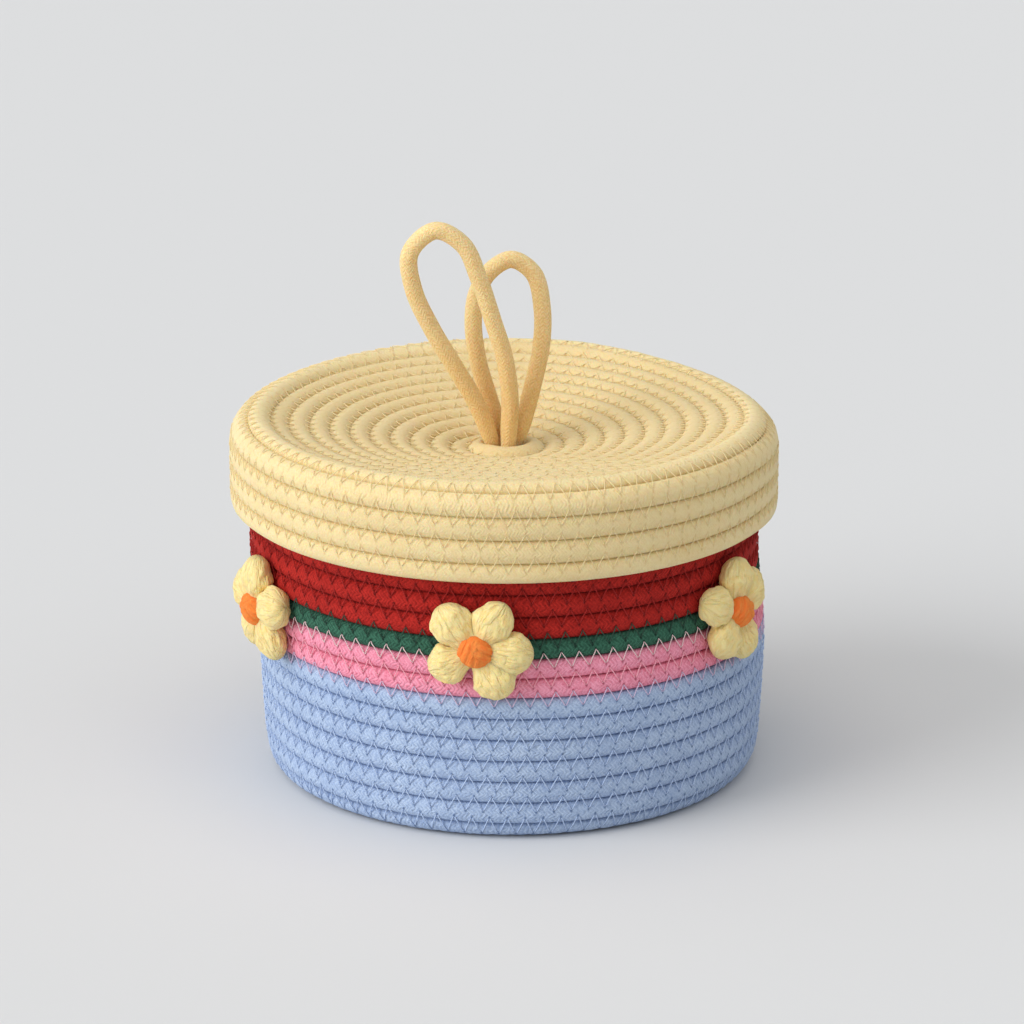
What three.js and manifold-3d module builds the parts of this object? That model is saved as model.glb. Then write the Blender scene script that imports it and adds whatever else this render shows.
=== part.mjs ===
// Storage basket of coiled cotton rope with a lid, in millimetres, +Z up.
// The origin is on the floor under the middle of the basket, and the front faces -Y.
import * as THREE from 'three';
import { mergeVertices } from 'three/addons/utils/BufferGeometryUtils.js';
import Module from 'manifold-3d';

const wasm = await Module();
wasm.setup();

const DEGREE = Math.PI / 180;

// Sewn rope: six-sided, with a flat band on each face and a ridge towards each neighbour
const flatRow = 6.5; // from seam to seam, where the rope lies flat
const rowGap = 0.55; // clear space between two rows
const ropeThickness = 5.6; // through the wall
const ropeFlat = 3.4; // width of the flat band that the sewing presses on each face
const stepsPerTurn = 18; // straight steps in one turn of rope
const leastStep = 0.2; // a rope's end keeps this part of a step from the next bearing
const climbAtBack = 0.6; // how much steeper the rows climb at the back than on average
const buttGap = 0.3; // between two ropes that meet end to end

// Basket
const wallRadius = 78.6; // middle of the rope at the rim
const flareLength = 50; // lower part of the wall, which leans outward
const flareAngle = 4.6 * DEGREE;
const cornerRadius = 4.5; // bend from the base into the wall, at the middle of the rope
const cornerBack = 1.2; // the corner row's middle, back from the middle of that bend
const baseTurns = 10; // turns of rope in the flat base, before the corner row
const baseEyeRadius = 4.4; // middle of the rope where the base starts
const coarseRadius = 30; // base turns inside this radius have half as many steps
const blueRows = 6; // above the corner row
const blueRow = 7; // height of a row in the wall, from seam to seam
const pinkRows = 2;
const pinkRow = 6.3;
const greenRows = 1;
const greenRow = 6.5;
const redRows = 6;
const redRow = 7.1;
const taperTurns = 1 / 4; // length of a rope's thinned end
const taperTo = 0.35; // thickness left at the tip of a thinned end

// Lid
const skirtClearance = 0.5; // between the skirt and the wall inside it
const seatClearance = 0.3; // between the lid and the rim that it rests on
const skirtStraight = 21.5; // straight part of the skirt, up from its lower edge
const edgeRow = 6.1; // height of the lowest row
const skirtRows = 2; // rows of the skirt above that one
const skirtRow = 7.4;
const rollRadius = 5.9; // bend over the lid's edge, at the middle of the rope
const rimDrop = 30 * DEGREE; // slope just inside the rolled edge
const rimDropLength = 5;
const dishSlope = 10 * DEGREE; // the lid's top falls towards its middle
const collarRadius = 13.8; // where the dish turns up into the collar
const collarBend = 3.2; // length of that turn
const collarSlope = 30 * DEGREE; // the collar rises towards the hole
const holeRadius = 6.3;
const collarTaperTurns = 0.4; // length of the thinned rope end round the hole

// Handle: two standing loops of the same rope, drawn together in the hole
const handleRope = ropeThickness;
const handleSqueezed = 4.8; // rope diameter in the hole
const strandGap = 0.35;
const strandTurn = 21 * DEGREE; // turn of the four strands in the hole
const handleSides = 8;
const handleSteps = 44;
const squeezeStart = -2; // heights above the collar between which the rope swells again
const squeezeEnd = 7;
const bindingTurns = 2.25; // rope wound round the strands under the lid, which keeps them there
const bindingClearance = 0.35;
const tailLength = 4; // rope ends below the winding

// Loop routes: x, y and the height as a share of the loop's own height above the collar
const frontLoopHeight = 71.2;
const frontLoopRoute = [
  [-4.9, -2.6, 0.05], [-9.5, -4, 0.21], [-15.8, -5.2, 0.37], [-22.9, -6.5, 0.55], [-28.4, -7.5, 0.73],
  [-29.4, -8, 0.9], [-21.4, -8, 1], [-12.8, -8, 0.935], [-7.9, -7.5, 0.78], [-3.5, -6.8, 0.585],
  [0.2, -5.6, 0.405], [1.9, -4.4, 0.21], [1.5, -3.7, 0.05],
];
const backLoopHeight = 57.1;
const backLoopRoute = [
  [-2, 3.2, 0.06], [-4.8, 4.4, 0.225], [-8.2, 6, 0.425], [-9.8, 7.6, 0.645], [-8.6, 8.8, 0.81],
  [-4.4, 9.4, 0.935], [2.4, 9.8, 1], [9.4, 9.4, 0.92], [12.1, 8.3, 0.73], [11.9, 6.6, 0.525],
  [9, 4, 0.29], [5.4, 1.9, 0.06],
];

// Yarn flowers, sewn on by hand: bearing from the front, height and turn of the petals
const flowerPlaces = [
  [-6 * DEGREE, 65.2, 0],
  [57 * DEGREE, 64.8, 20 * DEGREE],
  [123 * DEGREE, 63.5, 8 * DEGREE],
  [174 * DEGREE, 65, -12 * DEGREE],
  [239 * DEGREE, 62.5, -7 * DEGREE],
  [-65.5 * DEGREE, 61.7, 15 * DEGREE],
];
const flowerClearance = 0.3;
const petalCount = 5;
const petalTurn = 66 * DEGREE;
const petalReach = 10.2; // from the flower's middle to a petal's middle
const petalLength = 12.4;
const petalWidth = 12.8;
const petalDepth = 8.2;
const petalRise = 4.1; // petal's middle above the wall
const petalColumns = 8;
const petalBands = 6;
const hubRadius = 7;
const hubTop = 3.4;
const centreRadius = 5.5;
const centreFoot = 2.9; // underside of the orange centre above the wall
const centreTop = 9.4;
const centreSides = 10;
const centreFootShare = 0.84; // foot's radius as a share of the centre's
const centreWaistShare = 0.36; // height of the widest part as a share of the centre's

// Finishes
function cotton(name, colour) {
  return new THREE.MeshStandardMaterial({ name, color: colour, roughness: 0.92, metalness: 0 });
}
const blueCotton = cotton('blue_cotton', 0xa0bade);
const pinkCotton = cotton('pink_cotton', 0xec96b0);
const greenCotton = cotton('green_cotton', 0x38705a);
const redCotton = cotton('red_cotton', 0xaf2b25);
const yellowCotton = cotton('yellow_cotton', 0xecd8a3);
const creamYarn = cotton('cream_yarn', 0xf3e8aa);
const orangeYarn = cotton('orange_yarn', 0xf0782d);

// Closed solids

// A closed skin over rings of points, all with the same number of points
function skin(rings) {
  const sides = rings[0].length;
  const positions = rings.flat().flatMap((point) => [point.x, point.y, point.z]);
  const faces = [];
  for (let ring = 0; ring + 1 < rings.length; ring += 1) {
    for (let side = 0; side < sides; side += 1) {
      const a = ring * sides + side;
      const b = ring * sides + (side + 1) % sides;
      faces.push(a, b, b + sides, a, b + sides, a + sides);
    }
  }
  const last = (rings.length - 1) * sides;
  for (let side = 1; side + 1 < sides; side += 1) {
    faces.push(0, side + 1, side, last, last + side, last + side + 1);
  }
  const geometry = new THREE.BufferGeometry();
  geometry.setAttribute('position', new THREE.Float32BufferAttribute(positions, 3));
  geometry.setIndex(signedVolume(positions, faces) > 0 ? faces : faces.reverse());
  return withNormals(geometry);
}

function signedVolume(positions, faces) {
  const corner = (index) => new THREE.Vector3().fromArray(positions, 3 * index);
  let volume = 0;
  for (let i = 0; i < faces.length; i += 3) {
    volume += corner(faces[i]).dot(corner(faces[i + 1]).cross(corner(faces[i + 2]))) / 6;
  }
  return volume;
}

function withNormals(geometry) {
  const flat = geometry.toNonIndexed();
  flat.computeVertexNormals();
  return flat;
}

function solidOf(geometry) {
  const bare = geometry.clone();
  bare.deleteAttribute('normal');
  bare.deleteAttribute('uv');
  const merged = mergeVertices(bare, 1e-4);
  return new wasm.Manifold(new wasm.Mesh({
    numProp: 3,
    vertProperties: new Float32Array(merged.attributes.position.array),
    triVerts: new Uint32Array(merged.index.array),
  }));
}

function geometryOf(solid) {
  const mesh = solid.getMesh();
  const geometry = new THREE.BufferGeometry();
  geometry.setAttribute('position', new THREE.BufferAttribute(mesh.vertProperties, 3));
  geometry.setIndex(new THREE.BufferAttribute(mesh.triVerts, 1));
  return withNormals(geometry);
}

// Section lines through the middle of the rope

// The line starts at radius r and height z with a heading, and each stretch [length, turn]
// bends evenly by its turn. Past the last stretch it runs on as that stretch does.
function sectionLine(r, z, heading, stretches) {
  const pieces = [];
  let piece = { from: 0, r, z, heading };
  for (const [length, turn] of stretches) {
    piece.bend = turn / length;
    pieces.push(piece);
    piece = { ...follow(piece, length), from: piece.from + length };
  }
  return (distance) => {
    const here = pieces.findLast((candidate) => candidate.from <= distance) ?? pieces[0];
    return follow(here, distance - here.from);
  };
}

function follow(piece, length) {
  const heading = piece.heading + piece.bend * length;
  if (Math.abs(piece.bend) < 1e-9) {
    return {
      r: piece.r + length * Math.cos(heading),
      z: piece.z + length * Math.sin(heading),
      heading,
    };
  }
  return {
    r: piece.r + (Math.sin(heading) - Math.sin(piece.heading)) / piece.bend,
    z: piece.z - (Math.cos(heading) - Math.cos(piece.heading)) / piece.bend,
    heading,
  };
}

// A point beside the line: some way along it, and then out through the face of the wall
function beside(line, distance, out) {
  const middle = line(distance);
  return {
    r: middle.r + out * Math.sin(middle.heading),
    z: middle.z - out * Math.cos(middle.heading),
  };
}

// Coils: one rope that follows a section line by one row in each turn

// Rows gained after some turns, which start at the back
function climbed(turn) {
  return turn + climbAtBack * Math.sin(2 * Math.PI * turn) / (2 * Math.PI);
}

// Rows of rope on a section line. A span is a number of rows and their height, and the first
// one starts where the line does, at the front of the first turn.
function rowsOn(line, spans) {
  const seam = (turn) => {
    let left = climbed(turn) - climbed(0.5);
    let distance = 0;
    for (const [count, height] of spans) {
      const rows = Math.min(left, count);
      distance += rows * height;
      left = Math.max(left - rows, 0);
    }
    return distance;
  };
  const height = (turn) => seam(turn + 1) - seam(turn);
  const middle = (turn) => seam(turn) + height(turn) / 2;
  return { line, seam, height, middle };
}

const halfFlat = ropeFlat / 2;
const halfThickness = ropeThickness / 2;

function ropeSection(halfRow) {
  return [
    [halfRow, 0],
    [halfFlat, halfThickness],
    [-halfFlat, halfThickness],
    [-halfRow, 0],
    [-halfFlat, -halfThickness],
    [halfFlat, -halfThickness],
  ];
}

// Steps of a coil from one turn to another, on the same bearings in every turn
function stepTurns(rows, firstTurn, lastTurn, coarseInside) {
  const near = leastStep / stepsPerTurn;
  const turns = [firstTurn];
  let step = Math.ceil((firstTurn + near) * stepsPerTurn);
  for (; step / stepsPerTurn < lastTurn - near; step += 1) {
    const coarse = rows.line(rows.middle(step / stepsPerTurn)).r < coarseInside;
    if (!coarse || step % 2 === 0) {
      turns.push(step / stepsPerTurn);
    }
  }
  turns.push(lastTurn);
  return turns;
}

function coilRings(rows, turns, { taperFirst = 0, taperLast = 0 }) {
  const firstTurn = turns[0];
  const lastTurn = turns.at(-1);
  return turns.map((turn) => {
    const fromFirst = taperFirst > 0 ? (turn - firstTurn) / taperFirst : 1;
    const fromLast = taperLast > 0 ? (lastTurn - turn) / taperLast : 1;
    const size = taperTo + (1 - taperTo) * Math.min(fromFirst, fromLast, 1);
    const halfRow = (rows.height(turn) - rowGap) / 2;
    const seat = fromFirst < fromLast ? halfRow : -halfRow; // a thinned end lies on its neighbour
    const bearing = Math.PI / 2 - 2 * Math.PI * turn;
    return ropeSection(halfRow).map(([along, out]) => {
      const place = seat + (along - seat) * size;
      const point = beside(rows.line, rows.middle(turn) + place, out * size);
      return new THREE.Vector3(point.r * Math.cos(bearing), point.r * Math.sin(bearing), point.z);
    });
  });
}

// Least distance between points of the tube that are more than half a turn apart
function leastSelfGap(turns, rings) {
  const samples = rings.map((ring, index) => {
    const next = rings[index + 1] ?? ring;
    return ring.flatMap((point, side) => [point, point.clone().lerp(next[side], 0.5)]);
  });
  let least = Infinity;
  for (let i = 0; i < samples.length; i += 1) {
    const apart = turns.findIndex((turn) => turn > turns[i] + 0.5);
    const others = apart < 0 ? [] : samples.slice(apart).flat();
    for (const point of samples[i]) {
      least = others.reduce((nearest, other) => Math.min(nearest, point.distanceTo(other)), least);
    }
  }
  return least;
}

function coil(name, material, rows, firstTurn, lastTurn, options = {}) {
  const turns = stepTurns(rows, firstTurn, lastTurn, options.coarseInside ?? 0);
  const rings = coilRings(rows, turns, options);
  console.log(`${name}: least gap to itself ${leastSelfGap(turns, rings).toFixed(2)} mm`);
  return named(name, material, skin(rings));
}

function named(name, material, geometry) {
  const mesh = new THREE.Mesh(geometry, material);
  mesh.name = name;
  return mesh;
}

// Half of the gap between two ropes that meet on the wall, in turns
const halfButt = buttGap / 2 / (2 * Math.PI * wallRadius) + 1e-4;

// Basket: base, corner row and wall in one line of rope, dyed in four lengths
function basketRows() {
  const wallHeading = Math.PI / 2 - flareAngle;
  const flareBend = flareLength / flareAngle;
  const cornerReach = cornerRadius * Math.sin(wallHeading);
  const flareReach = flareBend * (1 - Math.cos(flareAngle));
  const cornerStart = wallRadius - flareReach - cornerReach;
  const cornerLength = cornerRadius * wallHeading;
  const baseLength = (baseTurns + 0.5) * flatRow - cornerLength / 2 + cornerBack;
  const line = sectionLine(cornerStart - baseLength, halfThickness, 0, [
    [baseLength, 0],
    [cornerLength, wallHeading],
    [flareLength, flareAngle],
    [redRow, 0],
  ]);
  return rowsOn(line, [
    [baseTurns + 1, flatRow],
    [blueRows, blueRow],
    [pinkRows, pinkRow],
    [greenRows, greenRow],
    [Infinity, redRow],
  ]);
}

function basket() {
  const rows = basketRows();
  const radius = (turn) => rows.line(rows.middle(turn)).r;
  let firstTurn = 0;
  const reach = Math.sign(baseEyeRadius - radius(0)) / stepsPerTurn;
  while ((baseEyeRadius - radius(firstTurn + reach)) * reach > 0) {
    firstTurn += reach;
  }
  const blueEnd = baseTurns + 1 + blueRows;
  const pinkEnd = blueEnd + pinkRows;
  const greenEnd = pinkEnd + greenRows;
  const redEnd = greenEnd + redRows;
  const blueCoil = coil('blue_coil', blueCotton, rows, firstTurn, blueEnd - halfButt, {
    coarseInside: coarseRadius,
  });
  const pinkCoil = coil('pink_coil', pinkCotton, rows, blueEnd + halfButt, pinkEnd - halfButt);
  const greenCoil = coil('green_coil', greenCotton, rows, pinkEnd + halfButt, greenEnd - halfButt);
  const redCoil = coil('red_coil', redCotton, rows, greenEnd + halfButt, redEnd, {
    taperLast: taperTurns,
  });
  const group = new THREE.Group();
  group.add(blueCoil, pinkCoil, greenCoil, redCoil);
  return group;
}

// Lid: one rope, from the lower edge of the skirt up over the rolled edge and in to the hole
const skirtRadius = wallRadius + ropeThickness + skirtClearance;

function lidLine(lowerEdge) {
  const rollTurn = Math.PI / 2 + rimDrop;
  const roll = [rollRadius * rollTurn, rollTurn];
  const drop = [rimDropLength, dishSlope - rimDrop];
  const before = sectionLine(skirtRadius, lowerEdge, Math.PI / 2, [[skirtStraight, 0], roll, drop]);
  const dishStart = before(skirtStraight + roll[0] + drop[0]);
  return sectionLine(skirtRadius, lowerEdge, Math.PI / 2, [
    [skirtStraight, 0],
    roll,
    drop,
    [(dishStart.r - collarRadius) / Math.cos(dishSlope), 0],
    [collarBend, -dishSlope - collarSlope],
    [flatRow, 0],
  ]);
}

// A whole number of rows fills the line from the skirt to the hole
function lidRows(line) {
  const skirt = edgeRow + skirtRows * skirtRow;
  const stride = halfThickness / 10;
  let end = skirt;
  while (line(end).r > holeRadius) {
    end += stride;
  }
  const topRows = Math.round((end - skirt) / flatRow);
  const topRow = (end - skirt) / topRows;
  const rows = rowsOn(line, [[1, edgeRow], [skirtRows, skirtRow], [Infinity, topRow]]);
  return { ...rows, count: 1 + skirtRows + topRows };
}

// Lowest point of the lid's underside over a rim of rope
function undersideOver(line, innerRadius, outerRadius) {
  const stride = halfThickness / 10;
  let lowest = Infinity;
  let point = beside(line, skirtStraight, -halfThickness);
  for (let distance = skirtStraight; point.r > innerRadius; distance += stride) {
    point = beside(line, distance, -halfThickness);
    if (point.r < outerRadius) {
      lowest = Math.min(lowest, point.z);
    }
  }
  return lowest;
}

function lidSeat(rimTop) {
  const lift = undersideOver(lidLine(0), wallRadius - halfThickness, wallRadius + halfThickness);
  return lidLine(rimTop + seatClearance - lift);
}

function lidCoil(line) {
  const rows = lidRows(line);
  return coil('lid_coil', yellowCotton, rows, 0, rows.count, {
    taperFirst: taperTurns,
    taperLast: collarTaperTurns,
  });
}

// Handle loops

const strandRing = (handleSqueezed + strandGap) / Math.SQRT2;

function strandPlace(quarter) {
  const bearing = Math.PI + strandTurn + quarter * Math.PI / 2;
  return [strandRing * Math.cos(bearing), strandRing * Math.sin(bearing)];
}

function handleRadius(height) {
  const swell = THREE.MathUtils.smoothstep(height, squeezeStart, squeezeEnd);
  return THREE.MathUtils.lerp(handleSqueezed, handleRope, swell) / 2;
}

// A loop comes up through the hole at one strand, follows its route and goes down at another
function handleLoop(name, height, route, upStrand, downStrand, collarTop, tailEnd) {
  const depths = [tailEnd - collarTop, (tailEnd - collarTop) / 2, -ropeThickness, squeezeStart];
  const up = depths.map((depth) => [...strandPlace(upStrand), depth]);
  const down = depths.map((depth) => [...strandPlace(downStrand), depth]).reverse();
  const over = route.map(([x, y, share]) => [x, y, share * height]);
  const points = [...up, ...over, ...down].map(([x, y, rise]) => (
    new THREE.Vector3(x, y, collarTop + rise)
  ));
  const curve = new THREE.CatmullRomCurve3(points, false, 'centripetal');
  const middles = curve.getSpacedPoints(handleSteps);
  const frames = curve.computeFrenetFrames(handleSteps, false);
  const rings = middles.map((middle, step) => {
    const radius = handleRadius(middle.z - collarTop);
    return Array.from({ length: handleSides }, (_, side) => {
      const angle = 2 * Math.PI * (side + 0.5) / handleSides;
      return middle.clone()
        .addScaledVector(frames.normals[step], radius * Math.cos(angle))
        .addScaledVector(frames.binormals[step], radius * Math.sin(angle));
    });
  });
  console.log(`${name}: rope length ${curve.getLength().toFixed(0)} mm`);
  return named(name, yellowCotton, skin(rings));
}

function lid(rimTop) {
  const line = lidSeat(rimTop);
  const body = lidCoil(line);
  const collar = heightSpan(body, holeRadius + flatRow);
  const bindingRadius = (strandRing + handleSqueezed / 2 + bindingClearance)
    / Math.cos(2 * Math.PI / stepsPerTurn) + halfThickness;
  const bindingTop = collar.low - seatClearance - flatRow / 2;
  const bindingLine = sectionLine(bindingRadius, bindingTop, -Math.PI / 2, [[flatRow, 0]]);
  const bindingRows = rowsOn(bindingLine, [[Infinity, flatRow]]);
  const binding = coil('handle_binding', yellowCotton, bindingRows, 0, bindingTurns, {
    coarseInside: coarseRadius,
  });
  binding.geometry.computeBoundingBox();
  const tailEnd = binding.geometry.boundingBox.min.z - tailLength;
  const group = new THREE.Group();
  group.add(
    body,
    handleLoop('front_loop', frontLoopHeight, frontLoopRoute, 0, 1, collar.high, tailEnd),
    handleLoop('back_loop', backLoopHeight, backLoopRoute, 3, 2, collar.high, tailEnd),
    binding,
  );
  return group;
}

// Lowest and highest point of a solid within some radius of the axis
function heightSpan(mesh, radius) {
  const place = mesh.geometry.attributes.position;
  const span = { low: Infinity, high: -Infinity };
  for (let i = 0; i < place.count; i += 1) {
    if (Math.hypot(place.getX(i), place.getY(i)) < radius) {
      span.low = Math.min(span.low, place.getZ(i));
      span.high = Math.max(span.high, place.getZ(i));
    }
  }
  return span;
}

// Flowers, made at the front of the wall and then turned to their places
const wallFace = wallRadius + halfThickness;

// Moves a shape from the axis to a spot on the wall: across and up from the flower's middle
function ontoWall(geometry, across, up, rise) {
  geometry.translate(0, -wallFace - rise, up);
  geometry.rotateZ(across / wallFace);
  return geometry;
}

// A petal: a rounded puff lying on the wall, turned about its middle
function puff(length, width, depth, turn) {
  const geometry = new THREE.SphereGeometry(0.5, petalColumns, petalBands);
  geometry.rotateZ(Math.PI / 2);
  geometry.scale(length, depth, width);
  geometry.rotateY(-turn);
  return geometry;
}

// The orange centre: a dome on a narrower foot, or the room for it when a clearance is given
function centreShape(clearance) {
  const radius = centreRadius + clearance;
  const foot = centreFoot - clearance;
  const height = centreTop + clearance - foot;
  const waist = centreWaistShare * height;
  const profile = [new THREE.Vector2(0, 0), new THREE.Vector2(centreFootShare * radius, 0)];
  for (const angle of [0, 30, 60]) {
    profile.push(new THREE.Vector2(
      radius * Math.cos(angle * DEGREE),
      waist + (height - waist) * Math.sin(angle * DEGREE),
    ));
  }
  profile.push(new THREE.Vector2(0, height));
  const geometry = new THREE.LatheGeometry(profile, centreSides);
  geometry.rotateX(Math.PI);
  return ontoWall(geometry, 0, 0, foot);
}

// Five petals and their hub, hollowed to the wall and round the orange centre
function petalsShape(bearing, flowerTurn) {
  const hub = new THREE.CylinderGeometry(hubRadius, hubRadius, hubTop, 2 * petalCount);
  let solid = solidOf(ontoWall(hub, 0, 0, hubTop / 2));
  for (let petal = 0; petal < petalCount; petal += 1) {
    const turn = petalTurn + flowerTurn + petal * 2 * Math.PI / petalCount;
    const shape = puff(petalLength, petalWidth, petalDepth, turn);
    const across = petalReach * Math.cos(turn);
    const up = petalReach * Math.sin(turn);
    solid = solid.add(solidOf(ontoWall(shape, across, up, petalRise)));
  }
  const wallRoom = wallFace + flowerClearance;
  const flowerSize = 2 * (petalReach + petalLength);
  const wall = new THREE.CylinderGeometry(wallRoom, wallRoom, flowerSize, stepsPerTurn);
  wall.rotateX(Math.PI / 2);
  wall.rotateZ(-bearing);
  solid = solid.subtract(solidOf(wall));
  return geometryOf(solid.subtract(solidOf(centreShape(flowerClearance))));
}

function flowers() {
  const centre = withNormals(centreShape(0));
  const group = new THREE.Group();
  flowerPlaces.forEach(([bearing, height, turn], place) => {
    const flower = new THREE.Group();
    flower.rotation.z = bearing;
    flower.position.z = height;
    flower.add(
      named(`flower_${place + 1}_petals`, creamYarn, petalsShape(bearing, turn)),
      named(`flower_${place + 1}_centre`, orangeYarn, centre),
    );
    group.add(flower);
  });
  return group;
}

// The whole object
const basketBody = basket();
const rim = basketBody.getObjectByName('red_coil').geometry;
rim.computeBoundingBox();

const lidded_basket = new THREE.Group();
lidded_basket.add(basketBody, lid(rim.boundingBox.max.z), flowers());

export default lidded_basket;
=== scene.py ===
"""Lidded storage basket of coiled cotton rope with yarn flowers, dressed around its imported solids.

Lengths are in metres. The front of the basket faces -Y.
"""

import math

import bpy
import numpy as np
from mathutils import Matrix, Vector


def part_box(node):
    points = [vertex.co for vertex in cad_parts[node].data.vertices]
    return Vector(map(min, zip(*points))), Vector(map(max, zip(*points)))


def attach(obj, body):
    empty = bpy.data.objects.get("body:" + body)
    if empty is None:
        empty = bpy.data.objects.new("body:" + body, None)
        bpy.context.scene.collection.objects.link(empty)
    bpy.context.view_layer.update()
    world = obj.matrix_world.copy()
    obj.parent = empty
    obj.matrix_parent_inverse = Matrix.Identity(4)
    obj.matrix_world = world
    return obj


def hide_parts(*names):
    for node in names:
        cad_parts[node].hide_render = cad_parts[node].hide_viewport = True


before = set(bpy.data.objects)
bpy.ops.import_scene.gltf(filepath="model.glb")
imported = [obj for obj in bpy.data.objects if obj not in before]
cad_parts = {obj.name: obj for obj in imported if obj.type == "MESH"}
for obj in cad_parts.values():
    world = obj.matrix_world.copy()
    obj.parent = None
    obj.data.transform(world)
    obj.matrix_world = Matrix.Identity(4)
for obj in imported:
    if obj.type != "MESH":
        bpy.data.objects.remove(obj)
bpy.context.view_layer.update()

DEGREE = math.pi / 180
MM = 0.001
TO_MM = 1000

# Sewn rope
FLAT_ROW = 6.5 * MM  # from seam to seam, where the rope lies flat
ROPE_THICKNESS = 5.6 * MM  # through the wall
CLIMB_AT_BACK = 0.6  # how much steeper the rows climb at the back than on average
ROPE_STEP = 0.72 * MM  # length of rope between two rings of the mesh
LENGTH_SAMPLES = 720  # points in one turn from which its length is worked out
TAPER_TURNS = 1 / 4  # length of a rope's thinned end
TAPER_TO = 0.35  # thickness left at the tip of a thinned end

# Basket
WALL_RADIUS = 78.6 * MM
FLARE_LENGTH = 50 * MM
FLARE_ANGLE = 4.6 * DEGREE
CORNER_RADIUS = 4.5 * MM
CORNER_BACK = 1.2 * MM
BASE_TURNS = 10
BASE_EYE_RADIUS = 4.4 * MM
START_STEP = 1 / 18  # the part of a turn in which the start of the base is looked for
BASE_PIECE_END = BASE_TURNS + 0.25  # the mesh of the wall starts here, on the same rope
BLUE_ROW = 7 * MM
PINK_ROW = 6.3 * MM
GREEN_ROW = 6.5 * MM
RED_ROW = 7.1 * MM
# The turn at which each rope ends
BLUE_END = 17
PINK_END = 19
GREEN_END = 20
RED_END = 26
LEAN = 2.6 * MM  # the lower body stands a little to the right of the rim
LEAN_BELOW = 74 * MM
LEAN_OVER = 34 * MM
# The soft rim and the lid on it have settled a little: bearing, depth, and where it starts and ends
SETTLED = [(25 * DEGREE, 3.3 * MM, 52 * MM, 86 * MM), (155 * DEGREE, 1.1 * MM, 50 * MM, 86 * MM)]
SETTLED_ABOVE = 72 * MM
SETTLED_OVER = 36 * MM

# Lid
SKIRT_RADIUS = WALL_RADIUS + ROPE_THICKNESS + 0.5 * MM
SKIRT_STRAIGHT = 21.5 * MM
EDGE_ROW = 6.1 * MM
SKIRT_ROWS = 2
SKIRT_ROW = 7.4 * MM
ROLL_RADIUS = 5.9 * MM
RIM_DROP = 30 * DEGREE
RIM_DROP_LENGTH = 5 * MM
DISH_SLOPE = 10 * DEGREE
COLLAR_RADIUS = 13.8 * MM
COLLAR_BEND = 3.2 * MM
COLLAR_SLOPE = 30 * DEGREE
HOLE_RADIUS = 6.3 * MM
COLLAR_TAPER_TURNS = 0.4
SKIRT_TURNS = 5  # turns from the lower edge that have the finish of the skirt

# Zigzag sewing
STITCH_LENGTH = 5.35 * MM
STITCH_REACH = 2.5 * MM  # from the seam to a needle hole
DISH_REACH = 1.9 * MM
THREAD = 0.34 * MM
LID_THREAD = 0.27 * MM
# One leg of the zigzag: shares of its length, and the thread's height over the rope there
LEG_SHARES = np.array([0.0, 0.16, 0.5, 0.84])
LEG_HEIGHTS = np.array([-0.55, -0.02, -0.24, -0.02]) * MM
BASE_THREAD_START = 0.6  # turns from the start of the base to the first stitch
SKIRT_THREAD_START = 0.05
# How much deeper some threads lie; the one of the base stays off the floor
BASE_THREAD_SUNK = 0.32 * MM
SKIRT_THREAD_SUNK = 0.1 * MM
DISH_THREAD_SUNK = 0.4 * MM

# Handle
HANDLE_ROPE = 5.6 * MM
HANDLE_SQUEEZED = 4.8 * MM
STRAND_GAP = 0.35 * MM
STRAND_TURN = 21 * DEGREE
SQUEEZE_START = -2 * MM
SQUEEZE_END = 7 * MM
BINDING_TURNS = 2.25
TAIL_LENGTH = 4 * MM
LOOP_RINGS = 520
# The loops' foot is painted darker between these heights, as painted shade near the lid
DARK_BELOW, PALE_FROM = 112 * MM, 150 * MM  # heights of the loops' darker foot
# Loop routes: x, y and the height as a share of the loop's own height above the collar
FRONT_LOOP_HEIGHT = 71.2
FRONT_LOOP_ROUTE = [
    (-4.9, -2.6, 0.05), (-9.5, -4, 0.21), (-15.8, -5.2, 0.37), (-22.9, -6.5, 0.55),
    (-28.4, -7.5, 0.73), (-29.4, -8, 0.9), (-21.4, -8, 1), (-12.8, -8, 0.935), (-7.9, -7.5, 0.78),
    (-3.5, -6.8, 0.585), (0.2, -5.6, 0.405), (1.9, -4.4, 0.21), (1.5, -3.7, 0.05),
]
BACK_LOOP_HEIGHT = 57.1
BACK_LOOP_ROUTE = [
    (-2, 3.2, 0.06), (-4.8, 4.4, 0.225), (-8.2, 6, 0.425), (-9.8, 7.6, 0.645), (-8.6, 8.8, 0.81),
    (-4.4, 9.4, 0.935), (2.4, 9.8, 1), (9.4, 9.4, 0.92), (12.1, 8.3, 0.73), (11.9, 6.6, 0.525),
    (9, 4, 0.29), (5.4, 1.9, 0.06),
]

# Yarn flowers, sewn on by hand: bearing from the front, height and turn of the petals
FLOWER_PLACES = [
    (-6 * DEGREE, 65.2 * MM, 0),
    (57 * DEGREE, 64.8 * MM, 20 * DEGREE),
    (123 * DEGREE, 63.5 * MM, 8 * DEGREE),
    (174 * DEGREE, 65 * MM, -12 * DEGREE),
    (239 * DEGREE, 62.5 * MM, -7 * DEGREE),
    (-65.5 * DEGREE, 61.7 * MM, 15 * DEGREE),
]
PETAL_COUNT = 5
PETAL_TURN = 66 * DEGREE
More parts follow.
